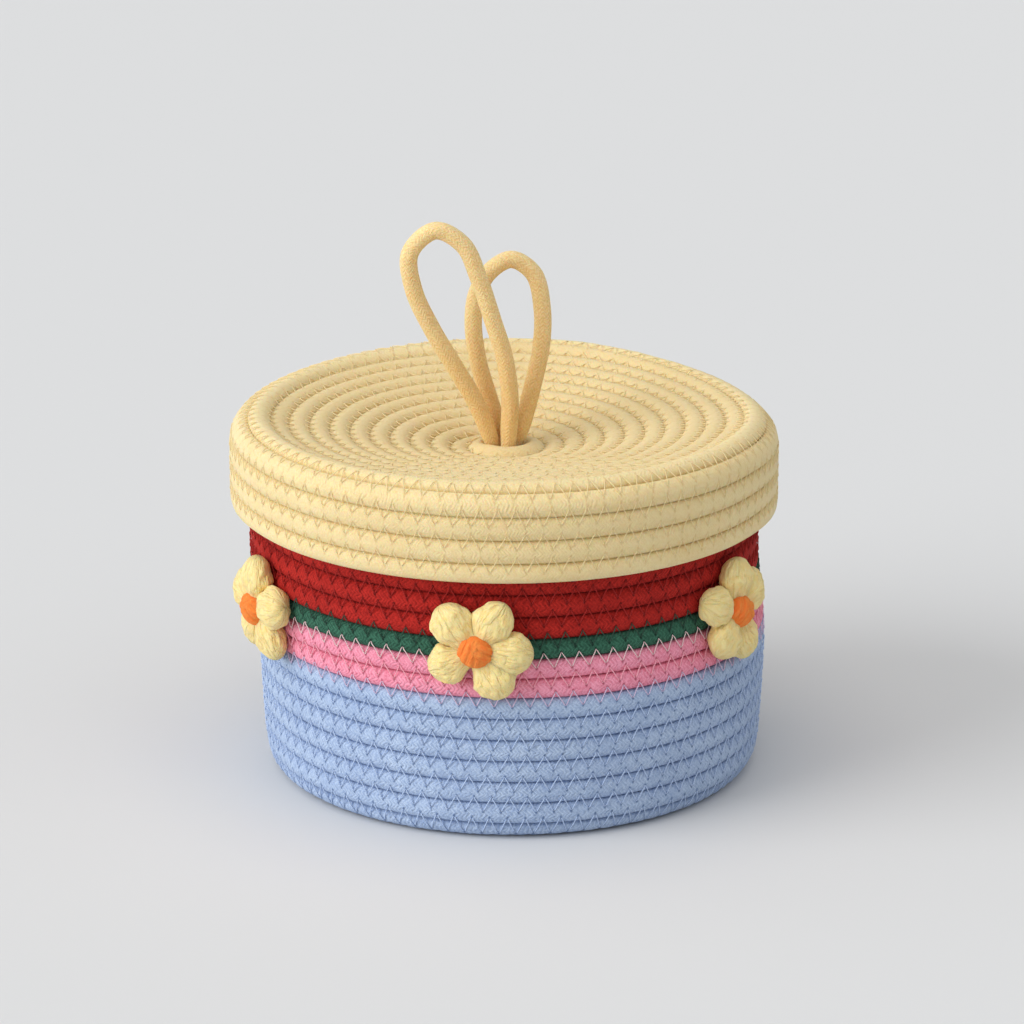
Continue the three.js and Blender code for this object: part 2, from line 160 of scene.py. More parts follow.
# How far the petals of some flowers sit from their even places, in degrees
PETAL_SHIFTS = {0: (-7, -7, 0, 14, 0), 1: (-6, 0, 0, -15, 10), 5: (8, 8, 8, 8, 8)}
PETAL_START = 3 * MM  # from the middle of the flower
PETAL_LENGTH = 14.1 * MM
PETAL_WIDTH = 14.3 * MM
PETAL_DEPTH = 9.6 * MM
PETAL_RISE = 4.1 * MM  # of its middle line, off the wall
PETAL_DROOP = 1.1 * MM  # how much lower the middle line is at the tip
PETAL_SWAY = 1 * MM  # the most that a tip stands aside
PETAL_UNEVENNESS = 1.7 * MM
PETAL_LUMPS = 300.0
PETAL_RINGS = 36
LEAST_SIZE = 0.03  # at the tips of petals and balls
CENTRE_RADIUS = 5.6 * MM
CENTRE_TOP = 10.1 * MM
CENTRE_FOOT = 5 * MM
CENTRE_YARN = 3.1 * MM
CENTRE_TILT = 62 * DEGREE
# Strands side by side over the middle, then two that cross them; places are shares of its radius
STRAND_COUNT = 5
STRAND_SPACING = 0.40
STRAND_RINGS = 18
CROSSING_ASIDES = (0.1, 0.6)
CROSSING_TURN = 100 * DEGREE
CROSSING_LIFT = 0.25 * MM
BALL_WIDTH = 10.9 * MM
BALL_DEPTH = 9.7 * MM
BALL_RINGS = 24

# Lamps: bearing from the left towards the front, height, softness and share of the floor's light
LAMPS = [
    (24 * DEGREE, 26 * DEGREE, 45 * DEGREE, 0.26),
    (37 * DEGREE, 55 * DEGREE, 120 * DEGREE, 0.25),
    (60 * DEGREE, 86 * DEGREE, 50 * DEGREE, 0.18),
    (160 * DEGREE, 40 * DEGREE, 60 * DEGREE, 0.07),
]
ROOM_COLOUR = (0.96, 0.96, 0.96, 1)
ROOM_STRENGTH = 0.30
FLOOR_HALF_WIDTH = 6.0

# Camera, fitted to the outline in the photograph
CAMERA_PLACE = (0.00253, -1.506, 0.5710)
CAMERA_DOWN = 0.314  # radians below level
LENS_LENGTH, SENSOR_WIDTH = 173.67, 36

HALF_THICKNESS = ROPE_THICKNESS / 2


# Section lines through the middle of the rope, as radius and height


class SectionLine:
    """Starts at a radius and height with a heading; each stretch (length, turn) bends evenly."""

    def __init__(self, r, z, heading, stretches):
        start, rows = 0.0, []
        for length, turn in stretches:
            rows.append((start, r, z, heading, turn / length))
            r, z, heading = self._run(r, z, heading, turn / length, length)
            start += length
        self.starts, self.r, self.z, self.heading, self.bend = (
            np.array(column, float) for column in zip(*rows)
        )

    @staticmethod
    def _run(r, z, heading, bend, length):
        ahead = heading + bend * length
        straight = np.abs(bend) < 1e-6
        safe = np.where(straight, 1.0, bend)
        r = r + np.where(
            straight, length * np.cos(heading), (np.sin(ahead) - np.sin(heading)) / safe
        )
        z = z + np.where(
            straight, length * np.sin(heading), (np.cos(heading) - np.cos(ahead)) / safe
        )
        return r, z, ahead

    def at(self, distance):
        """Radius, height, heading and bend at some distance along the line."""
        distance = np.asarray(distance, float)
        piece = np.clip(np.searchsorted(self.starts, distance, side="right") - 1, 0, None)
        r, z, heading = self._run(
            self.r[piece], self.z[piece], self.heading[piece], self.bend[piece],
            distance - self.starts[piece],
        )
        return r, z, heading, self.bend[piece]

    def beside(self, distance, out):
        r, z, heading, _ = self.at(distance)
        return r + out * np.sin(heading), z - out * np.cos(heading)


def basket_line():
    wall_heading = math.pi / 2 - FLARE_ANGLE
    flare_reach = FLARE_LENGTH / FLARE_ANGLE * (1 - math.cos(FLARE_ANGLE))
    corner_start = WALL_RADIUS - flare_reach - CORNER_RADIUS * math.sin(wall_heading)
    corner_length = CORNER_RADIUS * wall_heading
    base_length = (BASE_TURNS + 0.5) * FLAT_ROW - corner_length / 2 + CORNER_BACK
    return SectionLine(corner_start - base_length, HALF_THICKNESS, 0, [
        (base_length, 0),
        (corner_length, wall_heading),
        (FLARE_LENGTH, FLARE_ANGLE),
        (RED_ROW, 0),
    ])


def lid_line(lower_edge):
    roll_turn = math.pi / 2 + RIM_DROP
    over = [(SKIRT_STRAIGHT, 0), (ROLL_RADIUS * roll_turn, roll_turn),
            (RIM_DROP_LENGTH, DISH_SLOPE - RIM_DROP)]
    before = SectionLine(SKIRT_RADIUS, lower_edge, math.pi / 2, over)
    dish_start = float(before.at(sum(length for length, _ in over))[0])
    return SectionLine(SKIRT_RADIUS, lower_edge, math.pi / 2, [
        *over,
        ((dish_start - COLLAR_RADIUS) / math.cos(DISH_SLOPE), 0),
        (COLLAR_BEND, -DISH_SLOPE - COLLAR_SLOPE),
        (FLAT_ROW, 0),
    ])


def lid_line_on_its_solid():
    """The lid's line at the height where its solid rests."""
    line = lid_line(0)
    over_the_edge = np.linspace(SKIRT_STRAIGHT, SKIRT_STRAIGHT + ROLL_RADIUS * math.pi, 400)
    _, z = line.beside(over_the_edge, HALF_THICKNESS)
    return lid_line(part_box("lid_coil")[1].z - float(z.max()))


# Coils: one rope that follows a section line by one row in each turn


def climbed(turn):
    return turn + CLIMB_AT_BACK * np.sin(2 * np.pi * turn) / (2 * np.pi)


class Rows:
    """Rows of rope on a section line; each span is a number of rows and their height."""

    def __init__(self, line, *spans):
        counts, heights = (np.array(column, float) for column in zip(*spans))
        self.line, self.first_height = line, heights[0]
        self.marks = np.concatenate([[0.0], np.cumsum(counts)])
        self.distances = np.concatenate([[0.0], np.cumsum(counts * heights)])

    def seam(self, turn):
        """Distance along the line to the seam below the rope at a turn."""
        rows = climbed(turn) - climbed(0.5)
        return np.where(rows < 0, rows * self.first_height,
                        np.interp(rows, self.marks, self.distances))

    def height(self, turn):
        return self.seam(turn + 1) - self.seam(turn)

    def middle(self, turn):
        return (self.seam(turn) + self.seam(turn + 1)) / 2


def bearing(turn):
    return np.pi / 2 - 2 * np.pi * turn


def round_axis(radius, height, angle):
    return np.stack([radius * np.cos(angle), radius * np.sin(angle), height + 0 * angle], axis=-1)


def settle(points):
    """The rim and lid sink a little towards two sides."""
    moved = points.copy()
    high = np.clip((points[..., 2] - SETTLED_ABOVE) / SETTLED_OVER, 0, 1)
    for side, depth, start, end in SETTLED:
        towards = points[..., 0] * math.cos(side) + points[..., 1] * math.sin(side)
        share = np.clip((towards - start) / (end - start), 0, 1)
        moved[..., 2] -= depth * share ** 1.5 * high
    return moved


def lean(points):
    """The lower body's small shift to the right, and the settled rim."""
    share = np.clip((LEAN_BELOW - points[..., 2]) / LEAN_OVER, 0, 1)
    moved = settle(points)
    moved[..., 0] += LEAN * share * share * (3 - 2 * share)
    return moved


class Coil:
    """A rope coiled in rows from one turn to another."""

    def __init__(self, rows, first, last):
        self.rows, self.line, self.first, self.last = rows, rows.line, first, last
        count = int((last - first + 2) * LENGTH_SAMPLES) + 1
        self.fine = np.linspace(first - 1, last + 1, count)
        self.length = self._length_along(rows.middle(self.fine))
        self.seam_length = self._length_along(rows.seam(self.fine + 1))

    def _length_along(self, distance):
        r = np.abs(self.line.at(distance)[0])
        steps = 2 * np.pi * (r[1:] + r[:-1]) / 2 * np.diff(self.fine)
        return np.concatenate([[0.0], np.cumsum(steps)])

    def ring_turns(self, first, last):
        """The turns of the mesh's rings, a step of rope apart."""
        start, end = np.interp([first, last], self.fine, self.length)
        marks = np.linspace(start, end, max(2, int(round((end - start) / ROPE_STEP)) + 1))
        return np.interp(marks, self.length, self.fine)

    def stitch(self, turn):
        """Stitches sewn before a turn, on the seam above it."""
        return np.interp(turn, self.fine, self.seam_length) / STITCH_LENGTH

    def path(self, first, last, taper_first=0.0, taper_last=0.0, sewn=None):
        """The rope's middle line from one turn to another, with what its sweep needs."""
        turn = self.ring_turns(first, last)
        r, z, heading, bend = self.line.at(self.rows.middle(turn))
        angle, half_row = bearing(turn), self.rows.height(turn) / 2
        middle = round_axis(r, z, angle)
        up = round_axis(np.cos(heading), np.sin(heading), angle)
        out = round_axis(np.sin(heading), -np.cos(heading), angle)
        size = np.ones_like(turn)
        if taper_first:
            share = np.clip((turn - self.first) / taper_first, 0, 1)
            size = np.minimum(size, TAPER_TO + (1 - TAPER_TO) * share)
            middle = middle + up * (half_row * (1 - size))[:, None]
        if taper_last:
            share = np.clip((self.last - turn) / taper_last, 0, 1)
            size = np.minimum(size, TAPER_TO + (1 - TAPER_TO) * share)
            middle = middle - up * (half_row * (1 - size))[:, None]
        sewn_from, sewn_to = sewn or (self.first, self.last)
        above = np.where(turn < sewn_to - 1, self.stitch(turn), 0.5)
        below = np.where(turn > sewn_from + 1, self.stitch(turn - 1), 0.0)
        return {
            "middle": middle, "up": up, "out": out, "bend": bend, "size": size,
            "row": 2 * half_row, "along": np.interp(turn, self.fine, self.length),
            "stitch_above": above, "stitch_below": below,
        }

    def thread(self, first, last, face, reach=STITCH_REACH, sunk=0.0):
        """A zigzag thread over the seam above the rope, on its outer (1) or inner (-1) face."""
        lift = LEG_HEIGHTS - sunk
        start, end = np.ceil(2 * self.stitch(first)), np.floor(2 * self.stitch(last))
        legs = np.arange(start, end)
        half_stitch = (legs[:, None] + LEG_SHARES[None, :]).ravel()
        across = reach * (1 - 2 * np.abs(np.mod(half_stitch, 2) - 1))
        out = face * (HALF_THICKNESS + THREAD / 2 + np.tile(lift, len(legs)))
        turn = np.interp(half_stitch / 2 * STITCH_LENGTH, self.seam_length, self.fine)
        r, z = self.line.beside(self.rows.seam(turn + 1) + across, out)
        return round_axis(r, z, bearing(turn))


# Paths that are points only, for threads, loops and yarn


def framed(points, thickness, first_out=(0.0, -1.0, 0.3)):
    """Adds directions to a path of points, with as little twist as possible."""
    ahead = np.gradient(points, axis=0)
    ahead /= np.linalg.norm(ahead, axis=1, keepdims=True)
    out = np.empty_like(points)
    direction = np.array(first_out, float)
    for i, tangent in enumerate(ahead):
        direction = direction - tangent * (direction @ tangent)
        direction = direction / np.linalg.norm(direction)
        out[i] = direction
    steps = np.linalg.norm(np.diff(points, axis=0), axis=1)
    count = len(points)
    return {
        "middle": points, "up": np.cross(out, ahead), "out": out, "bend": np.zeros(count),
        "size": np.ones(count), "row": np.full(count, thickness),
        "along": np.concatenate([[0.0], np.cumsum(steps)]),
        "stitch_above": np.full(count, 0.5), "stitch_below": np.zeros(count),
    }


def catmull_rom(points, count):
    """Evenly spaced points on a centripetal Catmull-Rom curve, with their whole length."""
    points = np.array(points, float)
    ends = np.vstack([2 * points[0] - points[1], points, 2 * points[-1] - points[-2]])
    fine = []
    for p in (ends[i:i + 4] for i in range(len(ends) - 3)):
        spacing = np.linalg.norm(np.diff(p, axis=0), axis=1) ** 0.5
        knots = np.concatenate([[0.0], np.cumsum(spacing)])
        t = np.linspace(knots[1], knots[2], 60, endpoint=False)[:, None]

        def between(a, b, low, high):
            return (a * (knots[high] - t) + b * (t - knots[low])) / (knots[high] - knots[low])

        first, second, third = (between(p[i], p[i + 1], i, i + 1) for i in range(3))
        fine.append(between(between(first, second, 0, 2), between(second, third, 1, 3), 1, 2))
    fine = np.vstack([*fine, points[-1:]])
    marks = np.concatenate([[0.0], np.cumsum(np.linalg.norm(np.diff(fine, axis=0), axis=1))])
    even = np.linspace(0, marks[-1], count)
    return np.stack([np.interp(even, marks, fine[:, axis]) for axis in range(3)], axis=-1)


# Node trees


def feed(tree, socket, value):
    """Links a Value or another node's socket to a node's input, or sets the input."""
    if isinstance(value, Value):
        value = value.socket
    if isinstance(value, bpy.types.NodeSocket):
        tree.links.new(value, socket)
    else:
        socket.default_value = value


class Value:
    """A number or vector inside a node tree, with the usual sums written as sums."""

    def __init__(self, tree, socket):
        self.tree, self.socket = tree, socket

    def _node(self, kind, operation, values):
        node = self.tree.nodes.new(kind)
        node.operation = operation
        for socket, value in zip(node.inputs, values):
            feed(self.tree, socket, value)
        return node

    def maths(self, operation, *others):
        return Value(self.tree, self._node("ShaderNodeMath", operation, (self, *others)).outputs[0])

    def vector(self, operation, *others):
        node = self._node("ShaderNodeVectorMath", operation, (self, *others))
        return Value(self.tree, node.outputs["Vector"])

    def times_number(self, number):
        """A vector multiplied by a number."""
        node = node_with(self.tree, "ShaderNodeVectorMath", {"operation": "SCALE"},
                         Vector=self, Scale=number)
        return Value(self.tree, node.outputs["Vector"])

    def __add__(self, other):
        return self.maths("ADD", other)

    def __sub__(self, other):
        return self.maths("SUBTRACT", other)

    def __mul__(self, other):
        return self.maths("MULTIPLY", other)

    def __truediv__(self, other):
        return self.maths("DIVIDE", other)

    def __pow__(self, other):
        return self.maths("POWER", other)

    def abs(self):
        return self.maths("ABSOLUTE")

    def least(self, other):
        return self.maths("MINIMUM", other)

    def most(self, other):
        return self.maths("MAXIMUM", other)

    def steps_between(self, low, high):
        """0 below low, 1 above high, and smooth between them; high may be the lower one."""
        node = node_with(self.tree, "ShaderNodeMapRange", {"interpolation_type": "SMOOTHSTEP"},
                         Value=self, From_Min=low, From_Max=high)
        return Value(self.tree, node.outputs["Result"])


def zigzag(stitch):
    """-1 at each whole stitch and 1 halfway to the next."""
    return (stitch.maths("FRACT") - 0.5).abs() * -4 + 1


def off_the_thread(from_seam, stitch, reach):
    """Distance from the zigzag over a seam, in metres as all its lengths are."""
    leg = (reach * reach * 4 + (STITCH_LENGTH / 2) ** 2) ** 0.5
    return (from_seam - zigzag(stitch) * reach).abs() * (STITCH_LENGTH / 2) / leg


def node_with(tree, kind, settings=None, **inputs):
    """A node with its settings and inputs; a Value is linked and anything else is set."""
    node = tree.nodes.new(kind)
    for name, value in (settings or {}).items():
        setattr(node, name, value)
    for name, value in inputs.items():
        feed(tree, node.inputs[name.replace("_", " ")], value)
    return node


def rope_tree():
    """Sweeps a rope section along each path, and presses it in under the zigzag thread."""
    tree = bpy.data.node_groups.new("rope_along_a_path", "GeometryNodeTree")
    wanted = [
        ("Paths", "NodeSocketGeometry", None),
        ("Overlap", "NodeSocketFloat", 1.0),
        ("Thickness", "NodeSocketFloat", ROPE_THICKNESS),
        ("Squareness", "NodeSocketFloat", 2.0),
        ("Sides", "NodeSocketInt", 14),
        ("Press", "NodeSocketFloat", 0.0),
        ("Stitch Reach", "NodeSocketFloat", STITCH_REACH),
        ("Unevenness", "NodeSocketFloat", 0.0),
        ("Lumps", "NodeSocketFloat", 130.0),
        ("Side Lumps", "NodeSocketFloat", 0.0),
        ("Seed", "NodeSocketInt", 0),
        ("Finish", "NodeSocketMaterial", None),
    ]
    for name, kind, default in wanted:
        socket = tree.interface.new_socket(name, in_out="INPUT", socket_type=kind)
        if default is not None:
            socket.default_value = default
    tree.interface.new_socket("Rope", in_out="OUTPUT", socket_type="NodeSocketGeometry")
    given = tree.nodes.new("NodeGroupInput").outputs

    def value(name):
        return Value(tree, given[name])

    def read(name, kind="FLOAT"):
        node = node_with(tree, "GeometryNodeInputNamedAttribute", {"data_type": kind}, Name=name)
        return Value(tree, node.outputs["Attribute"])

    def store(geometry, name, number):
        node = node_with(
            tree, "GeometryNodeStoreNamedAttribute", {"data_type": "FLOAT", "domain": "POINT"},
            Geometry=geometry, Name=name, Value=number,
        )
        return node.outputs["Geometry"]

    # Section: a rounded square between a circle and a box
    circle = node_with(tree, "GeometryNodeCurvePrimitiveCircle",
                       Resolution=value("Sides"), Radius=1.0)
    place = node_with(tree, "ShaderNodeSeparateXYZ",
                      Vector=Value(tree, tree.nodes.new("GeometryNodeInputPosition").outputs[0]))
    x, y = Value(tree, place.outputs["X"]), Value(tree, place.outputs["Y"])
    power = value("Squareness")
    reach = (x.abs() ** power + y.abs() ** power) ** (power ** -1.0 * -1)
    section = store(circle.outputs["Curve"], "aside", x * reach * value("Overlap") * 0.5)
    section = store(section, "depth", y * reach * value("Thickness") * 0.5)

    # Sweep for the faces; the places come from the path's own directions
    curves = node_with(tree, "GeometryNodeMeshToCurve", Mesh=given["Paths"])
    swept = node_with(tree, "GeometryNodeCurveToMesh", Curve=curves.outputs["Curve"],
                      Profile_Curve=section, Fill_Caps=True)
    size, bend, row = read("size"), read("bend"), read("row")
    across, depth = read("aside") * row, read("depth")

    # The sewing thread pulls the rope in, and the rope puffs up between the stitches
    above = off_the_thread(across - row * 0.5, read("stitch_above"), value("Stitch Reach"))
    below = off_the_thread(across + row * 0.5, read("stitch_below"), value("Stitch Reach"))
    pulled = above.least(below).steps_between(1.1 * MM, 0.0)
    outward = (depth / (value("Thickness") * 0.5)).maths("SIGN")
    middle, up, out = (read(name, "FLOAT_VECTOR") for name in ("middle", "up", "out"))
    unswept = middle.vector("ADD", up.times_number(across)).vector("ADD", out.times_number(depth))
    noise = node_with(
        tree, "ShaderNodeTexNoise", {"noise_dimensions": "4D"},
        Vector=unswept, W=value("Seed"), Scale=value("Lumps"), Detail=2.0,
    )
    uneven = (Value(tree, noise.outputs[0]) - 0.5) * 2 * value("Unevenness")
    relief = (uneven - pulled * value("Press")) * (depth / (value("Thickness") * 0.5)).abs()
    widened = across * (uneven * value("Side Lumps") / (row * 0.5) + 1)
    shown_across, shown_depth = widened * size, (depth + relief * outward) * size

    turned = shown_across * bend
    forward = shown_across * (turned * turned * (-1 / 6) + 1) * (shown_depth * bend + 1)
    risen = (shown_depth * (turned * turned * -0.5 + 1)
             - shown_across * turned * 0.5 * (turned * turned * (-1 / 12) + 1))
    position = middle.vector("ADD", up.times_number(forward)).vector("ADD", out.times_number(risen))
    measured = store(swept.outputs["Mesh"], "across", across)
    placed = node_with(tree, "GeometryNodeSetPosition", Geometry=measured, Position=position)
    real = node_with(tree, "GeometryNodeRealizeInstances", Geometry=placed.outputs["Geometry"])
    done = node_with(tree, "GeometryNodeSetMaterial", Geometry=real.outputs["Geometry"],
                     Material=given["Finish"])
    node_with(tree, "NodeGroupOutput", Rope=done.outputs["Geometry"])
    return tree


ROPE_TREE = rope_tree()


def sweep(name, paths, finish, **sizes):
    """A plain mesh of ropes along paths, made by the rope tree."""
    mesh = bpy.data.meshes.new(name)
    edges, start = [], 0
    for path in paths:
        count = len(path["middle"])
        edges += [(start + i, start + i + 1) for i in range(count - 1)]
        start += count
    joined = {key: np.concatenate([path[key] for path in paths]) for key in paths[0]}
    mesh.from_pydata(joined["middle"].tolist(), edges, [])
    for key, values in joined.items():
        kind, field = ("FLOAT_VECTOR", "vector") if values.ndim == 2 else ("FLOAT", "value")
        attribute = mesh.attributes.new(key, kind, "POINT")
        attribute.data.foreach_set(field, values.astype(np.float32).ravel())
    strung = bpy.data.objects.new(name + "_paths", mesh)
    bpy.context.scene.collection.objects.link(strung)
    modifier = strung.modifiers.new("rope", "NODES")
    modifier.node_group = ROPE_TREE
    given = {item.name: item.identifier for item in ROPE_TREE.interface.items_tree
             if item.in_out == "INPUT"}
    for key, size in {"Finish": finish, **sizes}.items():
        modifier[given[key.replace("_", " ")]] = size
    depsgraph = bpy.context.evaluated_depsgraph_get()
    made = bpy.data.meshes.new_from_object(strung.evaluated_get(depsgraph), depsgraph=depsgraph)
    bpy.data.objects.remove(strung)
    bpy.data.meshes.remove(mesh)
    for used in ("middle", "up", "out", "bend", "size", "aside"):
        if used in made.attributes:
            made.attributes.remove(made.attributes[used])
    made.name = name
    made.shade_smooth()
    piece = bpy.data.objects.new(name, made)
    bpy.context.scene.collection.objects.link(piece)
    return piece


# Finishes


class Finish:
    """A material whose nodes are written as sums on the surface's own measurements."""

    def __init__(self, name):
        self.material = bpy.data.materials.new(name)
        self.material.use_nodes = True
        self.tree = self.material.node_tree
        self.tree.nodes.clear()
        self.shader = self.tree.nodes.new("ShaderNodeBsdfPrincipled")
        output = self.tree.nodes.new("ShaderNodeOutputMaterial")
        self.tree.links.new(self.shader.outputs["BSDF"], output.inputs["Surface"])
        place = self.tree.nodes.new("ShaderNodeTexCoord").outputs["Object"]
        self.place = Value(self.tree, place)

    def read(self, name, scale=1.0):
        node = node_with(self.tree, "ShaderNodeAttribute", {"attribute_name": name})
        return Value(self.tree, node.outputs["Fac"]) * scale

    def noise(self, scale, detail=2.0, vector=None, roughness=0.5):
        node = node_with(self.tree, "ShaderNodeTexNoise", Vector=vector or self.place,
                         Scale=scale, Detail=detail, Roughness=roughness)
        return Value(self.tree, node.outputs[0])

    def together(self, x, y, z):
        node = self.tree.nodes.new("ShaderNodeCombineXYZ")
        for socket, part in zip(node.inputs, (x, y, z)):
            feed(self.tree, socket, part)
        return Value(self.tree, node.outputs[0])

    def mix(self, share, first, second):
        """Two colours mixed; each is a Value or three numbers."""
        node = self.tree.nodes.new("ShaderNodeMix")
        node.data_type = "RGBA"
        sockets = node.inputs[0], node.inputs[6], node.inputs[7]
        for socket, value in zip(sockets, (share, first, second)):
            feed(self.tree, socket, (*value, 1) if isinstance(value, tuple) else value)
        return Value(self.tree, node.outputs[2])

    def let_light_in(self, share, depth):
        """Light that goes into the fibres and comes out again, red the furthest."""
        self.shader.inputs["Subsurface Weight"].default_value = share
        self.shader.inputs["Subsurface Radius"].default_value = (1.0, 0.55, 0.25)
        self.shader.inputs["Subsurface Scale"].default_value = depth

    def finish(self, colour, relief, sheen, sheen_tint, roughness=0.9):
        """Colour, and a relief in millimetres, with a soft cotton sheen."""
        bump = node_with(self.tree, "ShaderNodeBump", Height=relief, Distance=MM, Strength=1.0)
        self.tree.links.new(bump.outputs["Normal"], self.shader.inputs["Normal"])
        self.tree.links.new(colour.socket, self.shader.inputs["Base Color"])
        self.shader.inputs["Roughness"].default_value = roughness
        self.shader.inputs["Specular IOR Level"].default_value = 0.25
        self.shader.inputs["Sheen Weight"].default_value = sheen
        self.shader.inputs["Sheen Roughness"].default_value = 0.5
        self.shader.inputs["Sheen Tint"].default_value = (*sheen_tint, 1)
        return self.material


def srgb(red, green, blue):
    """A colour as a screen shows it, 0 to 255, in the renderer's own numbers."""
    return tuple(
        (c / 255 / 12.92) if c / 255 <= 0.04045 else ((c / 255 + 0.055) / 1.055) ** 2.4
        for c in (red, green, blue)
    )


def sewn_cotton(name, light, dark, seam_and_hole_shade, crisp=1.0, grain=1.0, crease_and_hole_shade=0.4, strand=1.3,
                reach=STITCH_REACH, lit_within=0.0):
    """Braided cotton rope sewn flat: herringbone strands, creased seams and needle holes, with
    painted shade in the seam creases, beside the thread and in the needle holes.

    Its sums are in millimetres.
    """
    made = Finish(name)
    along, across = made.read("along", TO_MM), made.read("across", TO_MM)
    depth = made.read("depth", TO_MM)
    above, below = made.read("stitch_above"), made.read("stitch_below")
    half = made.read("row", TO_MM / 2)
    wander = made.noise(300.0, 3.0)
    worn = made.noise(120.0, 2.0).steps_between(0.30, 0.62) * 0.6 + 0.4
    fuzz, fluff = made.noise(900.0, 3.0, roughness=0.65), made.noise(2600.0, 3.0)
    # Herringbone: slanted strands that turn back at every rib of the braid
    rib = (((across + (wander - 0.5) * 1.2) / 3.1).maths("FRACT") - 0.5).abs() * 2
    slanted = (along / strand + rib * 1.15 + (wander - 0.5) * 1.6) * (2 * math.pi)
    ribs = (slanted.maths("SINE") * 0.5 + 0.5) * worn * crisp
    # Seams, thread and needle holes, with painted shade in the seam creases, a painted shadow beside
    # the thread and painted shade in the holes
    crease_shade = (across.abs() - half).steps_between(-0.55, -0.1)
    mm_above = off_the_thread((across - half) * MM, above, reach) * TO_MM
    mm_below = off_the_thread((across + half) * MM, below, reach) * TO_MM
    shown = depth.abs().steps_between(0.8, 1.8)
    # A painted shadow beside the thread, with the groove it presses in
    groove_and_thread_shadow = mm_above.least(mm_below).steps_between(0.7, 0.1) * shown * crisp
    stitch_mm, reach_mm = STITCH_LENGTH * TO_MM, reach * TO_MM
    low_u = ((above + 0.5).maths("FRACT") - 0.5) * stitch_mm
    low_v = (across - half + reach_mm) * 0.6
    high_u = (below.maths("FRACT") - 0.5) * stitch_mm
    high_v = (across + half - reach_mm) * 0.6
    low = (low_u * low_u + low_v * low_v).maths("SQRT")
    high = (high_u * high_u + high_v * high_v).maths("SQRT")
    hole = (low.least(high) + (fluff - 0.5) * 0.25).steps_between(0.5, 0.15) * shown
    relief = (ribs * 0.17 + (fuzz - 0.5) * (0.34 * grain) + fluff * (0.12 * grain)
              - groove_and_thread_shadow * 0.12 - hole * 0.12 * crease_and_hole_shade / 0.4)
    blotch = made.noise(50.0, 3.0)
    # The tone mix also takes the painted shadow beside the thread
    shade = (ribs * -0.45 + 0.5 + (fuzz - 0.5) * (1.6 * grain) + (fluff - 0.5) * (0.7 * grain)
             + (blotch - 0.5) * 0.5 + groove_and_thread_shadow * 0.2)
    colour = made.mix(shade.most(0.0).least(1.0), light, dark)
    # Painted shade: the seam creases and the needle holes are mixed towards a darker colour
    colour = made.mix((crease_shade * crease_and_hole_shade).most(hole * crease_and_hole_shade * 1.8), colour, seam_and_hole_shade)
    if lit_within:
        made.let_light_in(0.5, lit_within)
    return made.finish(colour, relief, sheen=0.12, sheen_tint=light)


def thread_finish(name, colour, dark):
    """Twisted sewing thread."""
    made = Finish(name)
    along = made.read("along", TO_MM)
    twist = (along * 9 + made.read("across", TO_MM) * 8).maths("SINE") * 0.5 + 0.5
    blotch = made.noise(300.0)
    return made.finish(made.mix((twist * 0.5 + (blotch - 0.5) * 0.6).most(0.0), colour, dark),
                       twist * 0.03, roughness=0.7, sheen=0.05, sheen_tint=colour)


def braided_rope(name, light, dark):
    """Round braided cotton rope: fine slanted stitches in ribs round the rope, and painted shade on
    the loops' foot near the lid.
    """
    made = Finish(name)
    along = made.read("along", TO_MM)
    across, depth = made.read("across"), made.read("depth")
    angle = depth.maths("ARCTAN2", across)
    wander = made.noise(260.0, 3.0)
    ribs_round = (angle * (4 / math.pi) + (wander - 0.5) * 0.9).maths("FRACT") - 0.5
    rib = ribs_round.abs() * 2
    slanted = (along / 1.25 + rib * 1.0 + (wander - 0.5) * 0.9) * (2 * math.pi)
    stitch = slanted.maths("SINE") * 0.5 + 0.5
    fuzz, fluff = made.noise(900.0, 3.0, roughness=0.65), made.noise(2400.0, 3.0)
    relief = stitch * 0.14 + rib * 0.08 + (fuzz - 0.5) * 0.25 + fluff * 0.10
    blotch = made.noise(60.0, 3.0)
    shade = (stitch * -0.32 + 0.40 + (fuzz - 0.5) * 1.2 + (fluff - 0.5) * 0.5
             + (blotch - 0.5) * 0.5)
    colour = made.mix(shade.most(0.0).least(1.0), light, dark)
    # Painted shade: the loops' foot near the lid is mixed towards the dark colour
    place = node_with(made.tree, "ShaderNodeSeparateXYZ", Vector=made.place)
    foot_shade_near_the_lid = Value(made.tree, place.outputs["Z"]).steps_between(PALE_FROM, DARK_BELOW)
    colour = made.mix(foot_shade_near_the_lid * 0.4, colour, dark)
    made.let_light_in(0.5, 3 * MM)
    return made.finish(colour, relief, sheen=0.2, sheen_tint=light)


